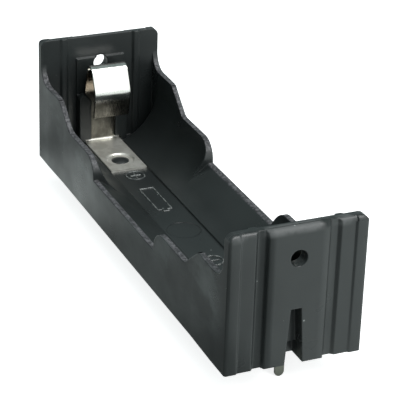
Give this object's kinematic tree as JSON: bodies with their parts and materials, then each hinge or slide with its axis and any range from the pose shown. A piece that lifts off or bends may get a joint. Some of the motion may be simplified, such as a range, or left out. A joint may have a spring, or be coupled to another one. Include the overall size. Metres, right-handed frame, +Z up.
{
  "type": "cylindrical cell holder",
  "caption": "Open-topped moulded holder for one cylindrical cell, with stepped side walls, a spring leaf contact at each end and flat solder pins below.",
  "frame": {"origin": "centre of the underside, on the face that sits on the circuit board", "axes": "+X along the cell towards the negative contact, +Y across the cell, +Z up, out of the open top"},
  "size_m": [0.077, 0.0206, 0.0251],
  "materials": {
    "housing_plastic": "black moulded thermoplastic, satin to glossy, lightly speckled on the cut edges",
    "contact_nickel": "bright nickel plate on spring steel strip"
  },
  "bodies": {
    "root": {"housing": "housing_plastic", "contact_positive": "contact_nickel", "contact_negative": "contact_nickel"}
  },
  "joints": []
}
